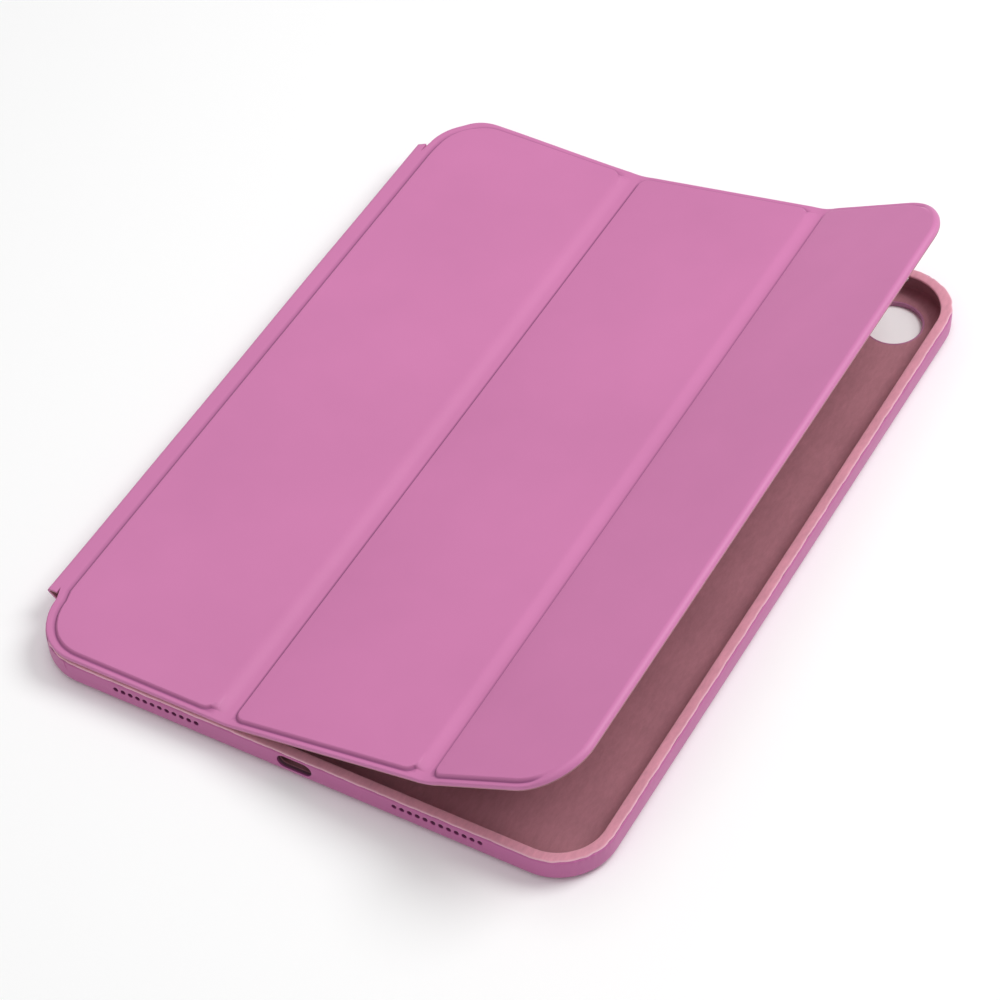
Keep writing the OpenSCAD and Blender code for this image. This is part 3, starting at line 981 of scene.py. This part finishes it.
def rim_band():
    """Microfibre folded over the lip, with a soft crown and a raw outer edge."""
    rings = []
    along, last = 0.0, None
    for s in stations(1.0, 1.0):
        here = at_station(s, TRAY_R, 0)
        along += dist(here, last) if last else 0.0
        last = here
        edge = SHELL_OUT + rim_reach(s, along)
        top = RIM_Z + 0.05 + waves(along, RIM_PUFF) * 0.6
        section = [
            (MOUTH_R, LIP_Z), (MOUTH_R - 0.02, LIP_Z + 0.3), (MOUTH_R + 0.06, RIM_Z - 0.18),
            (MOUTH_R + 0.22, RIM_Z - 0.05), (MOUTH_R + 0.5, RIM_Z), (MOUTH_R + 1.2, top),
            (edge - 1.1, top), (edge - 0.6, RIM_Z + 0.02), (edge - 0.4, RIM_Z - 0.01),
            (edge - 0.15, RIM_Z - 0.08), (edge - 0.02, RIM_Z - 0.2), (edge, RIM_Z - 0.34),
            (edge - 0.08, RIM_Z - 0.46), (SHELL_OUT - 0.3, RIM_Z - 0.46),
            (SHELL_OUT - 0.3, LIP_TOP), (MOUTH_R + 0.35, LIP_TOP),
            (MOUTH_R + 0.28, LIP_TOP - 0.08), (MOUTH_R + 0.28, LIP_Z),
        ]
        rings.append([at_station(s, r, z) for r, z in section])
    obj = lofted("rim_band_microfibre", rings, RIM_FIBRE, closed_path=True)
    hem = [0.0] * 8 + [0.15, 0.7, 1.0, 0.9, 0.6] + [0.0] * 5
    paint(obj, "hem", hem * len(rings))
    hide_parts("rim_band")
    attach(obj, "tray")


# ---- Camera ring and volume buttons
def camera_ring():
    """A turned ring with a thin flange below and rounded lips, seated in the camera window."""
    z0, z1 = low("camera_ring")[2], high("camera_ring")[2]
    flange = high("camera_ring")[0] - CAMERA_AT[0]
    neck = CAMERA_R + RING_NECK
    section = [(CAMERA_R, z0 + 0.12), (CAMERA_R + 0.04, z0 + 0.04), (CAMERA_R + 0.12, z0),
               (flange - 0.15, z0), (flange - 0.04, z0 + 0.04), (flange, z0 + 0.15),
               (flange, z0 + 0.5), (neck, z0 + 0.5), (neck, z1 - 0.15), (neck - 0.05, z1 - 0.05),
               (neck - 0.15, z1), (CAMERA_R + 0.15, z1), (CAMERA_R + 0.04, z1 - 0.05),
               (CAMERA_R, z1 - 0.15)]
    rings = []
    for a in np.linspace(0, 2 * pi, 120, endpoint=False):
        c, s = cos(a), sin(a)
        rings.append([(CAMERA_AT[0] + r * c, CAMERA_AT[1] + r * s, z) for r, z in section])
    obj = lofted("camera_window_ring", rings, RING, closed_path=True)
    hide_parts("camera_ring")
    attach(obj, "tray")


def volume_button(node, body):
    """A button cap with a softly domed face and a flange that holds it behind the wall."""
    x = middle(node)[0]
    y0, y1 = low(node)[1], high(node)[1]
    levels = [(0.9, y0), (0.9, y0 + 0.35), (0.0, y0 + 0.35), (0.0, y1 - 0.32),
              (-0.03, y1 - 0.2), (-0.1, y1 - 0.1), (-0.22, y1 - 0.04), (-0.5, y1), (-1.2, y1)]
    rings = []
    for grow, y in levels:
        loop = stadium_outline(x, PORT_Z, BUTTON_W, BUTTON_H, grow, CAP_STEPS)
        rings.append([(px, y, pz) for px, pz in loop])
    obj = lofted(node.replace("_button", "_cap"), rings, BUTTON)
    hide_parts(node)
    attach(obj, body)


# ---- Spine: the soft strip from the tray's back, up the left side and over to the cover
def spline(points, per_span):
    """A smooth curve through given points."""
    pts = [np.array(p, float) for p in points]
    pts = [2 * pts[0] - pts[1]] + pts + [2 * pts[-1] - pts[-2]]
    out = []
    for a, b, c, d in zip(pts, pts[1:], pts[2:], pts[3:]):
        for i in range(per_span):
            t = i / per_span
            out.append(0.5 * (2 * b + (c - a) * t + (2 * a - 5 * b + 4 * c - d) * t ** 2
                              + (3 * b - a - 3 * c + d) * t ** 3))
    out.append(pts[-2])
    return out


def strip_curve():
    """The strip's outer face in section, from the tray's back to the cover's margin."""
    centre = np.array([HINGE_TOP[0] - CREASE_IN, MARGIN_Z - CREASE_R])
    side = spline(STRIP_SIDE, 4)
    lean = atan2(side[-1][1] - side[-3][1], side[-1][0] - side[-3][0])
    start = lean + pi / 2
    arc = [centre + CREASE_R * np.array([cos(a), sin(a)])
           for a in np.linspace(start, pi / 2, 12)]
    run = [side[-1] + (arc[0] - side[-1]) * t for t in (0.35, 0.7)]
    top = [np.array([x, MARGIN_Z]) for x in np.linspace(centre[0], COVER_X0, 6)[1:]]
    return side + run + arc + top


def offset_curve(curve, distance):
    """The curve moved to its right-hand side."""
    out = []
    for i, p in enumerate(curve):
        a, b = curve[max(i - 1, 0)], curve[min(i + 1, len(curve) - 1)]
        d = (b - a) / np.linalg.norm(b - a)
        out.append(p + distance * np.array([d[1], -d[0]]))
    return out


def far_end(x, z):
    """Where the strip's far end lies, for a point of its section."""
    over = float(smooth((x - HINGE_TOP[0] + 0.2) / 2.4)) if z > MARGIN_Z - 1.6 else 0.0
    return SPINE_FAR + STRIP_TAPER * over


def strip_layer(name, outer, inner, material):
    """A layer of the strip between two section curves, run along Y."""
    section = outer + inner[::-1]
    rings = []
    for i in range(STRIP_ROWS + 1):
        t = i / STRIP_ROWS
        rings.append([(x + strip_drift(t, x, z), SPINE_NEAR + (far_end(x, z) - SPINE_NEAR) * t, z)
                      for x, z in section])
    return lofted(name, rings, material)


def strip_drift(t, x, z):
    """The soft strip wanders a little along its length and leans in at its far end."""
    free = max(0.0, min(1.0, (z - 1.5) / 3.0))
    if z > MARGIN_Z - 1.2:
        crease = HINGE_TOP[0] - CREASE_IN
        free *= 1 - float(smooth((x - crease) / (COVER_X0 - crease)))
    return free * (SPINE_SKEW * t + waves(t, STRIP_WANDER))


def spine():
    """The strip's leather and lining, each in a lower and an upper length."""
    curve = strip_curve()
    cut = min(range(len(curve)), key=lambda i: abs(curve[i][1] - SPINE_SPLIT_Z))
    between = offset_curve(curve, SPINE_LEATHER_T)
    inside = offset_curve(curve, SPINE_LEATHER_T + SPINE_LINING_T)
    layers = (("leather", curve, between, LEATHER, "spine_leather"),
              ("lining", between, inside, LINING, "spine_lining"))
    for label, a, b, material, node in layers:
        lower = strip_layer("spine_%s_lower" % label, a[:cut + 1], b[:cut + 1], material)
        upper = strip_layer("spine_%s_upper" % label, a[cut:], b[cut:], material)
        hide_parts(node)
        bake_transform(lower)
        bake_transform(upper)


# ---- Carried-over CAD nodes
CAD_MATERIALS = {
    "tray_shell": SHELL,
    "panel_1_board": BOARD, "panel_2_board": BOARD, "panel_3_board": BOARD,
    "stand_plates": STEEL, "wake_magnets": MAGNET, "stand_magnets": MAGNET,
}


def dress_cad_nodes():
    for node, material in CAD_MATERIALS.items():
        obj = frame["nodes"][node]
        for slot in obj.material_slots:
            slot.material = material


# ---- Stage, light and camera
def stage():
    """A plain pale floor."""
    bpy.ops.mesh.primitive_plane_add(size=6)
    floor = bpy.context.object
    floor.name = "studio_floor"
    material, _, _, shader = node_material("studio_floor_paint")
    set_inputs(shader, {"Base Color": (0.97, 0.97, 0.97, 1), "Roughness": 0.9})
    floor.data.materials.append(material)


def area_light(name, at, size, energy):
    """A round soft light that looks at the middle of the case."""
    data = bpy.data.lights.new(name, "AREA")
    data.shape = "DISK"
    data.size = size
    data.energy = energy
    obj = bpy.data.objects.new(name, data)
    bpy.context.scene.collection.objects.link(obj)
    obj.location = at
    obj.rotation_euler = (-Vector(at)).to_track_quat("-Z", "Y").to_euler()


def lights():
    """Plain soft studio light."""
    world = bpy.data.worlds.new("studio")
    bpy.context.scene.world = world
    world.use_nodes = True
    background = world.node_tree.nodes["Background"]
    background.inputs[0].default_value = (1, 1, 1, 1)
    background.inputs[1].default_value = 0.36
    area_light("key", (0.55, 0.55, 0.95), 0.7, 8.8)
    area_light("top", (-0.15, 0.1, 1.3), 1.0, 4.2)
    area_light("front", (-0.1, -0.75, 0.85), 0.9, 1.5)


# Camera: azimuth from -Y towards +X, elevation, roll, distance and the point looked at
CAMERA_AZIMUTH = radians(32.10)
CAMERA_ELEVATION = radians(47.64)
CAMERA_ROLL = radians(-4.11)
CAMERA_DISTANCE = 1.00315
CAMERA_TARGET = Vector((4.17, -15.97, 8.1)) * MM
CAMERA_LENS = 122.85        # millimetres on a 36 mm wide sensor


def camera():
    """A camera that looks back along its azimuth and elevation, turned by its roll."""
    a, e, r = CAMERA_AZIMUTH, CAMERA_ELEVATION, CAMERA_ROLL
    back = Vector((sin(a) * cos(e), -cos(a) * cos(e), sin(e)))
    right = Vector((cos(a), sin(a), 0))
    up = back.cross(right)
    x_axis = cos(r) * right + sin(r) * up
    y_axis = -sin(r) * right + cos(r) * up
    at = CAMERA_TARGET + back * CAMERA_DISTANCE
    data = bpy.data.cameras.new("camera")
    data.sensor_width = 36
    data.lens = CAMERA_LENS
    data.clip_start = 0.01
    obj = bpy.data.objects.new("camera", data)
    bpy.context.scene.collection.objects.link(obj)
    turn = Matrix((x_axis, y_axis, back)).transposed().to_4x4()
    obj.matrix_world = Matrix.Translation(at) @ turn
    bpy.context.scene.camera = obj
    bpy.context.scene.view_settings.view_transform = "Standard"


camera()
lights()
stage()
dress_cad_nodes()
cover_leather()
cover_lining()
tray_leather()
tray_lining()
rim_band()
camera_ring()
volume_button("volume_up_button", "volume_up")
volume_button("volume_down_button", "volume_down")
spine()
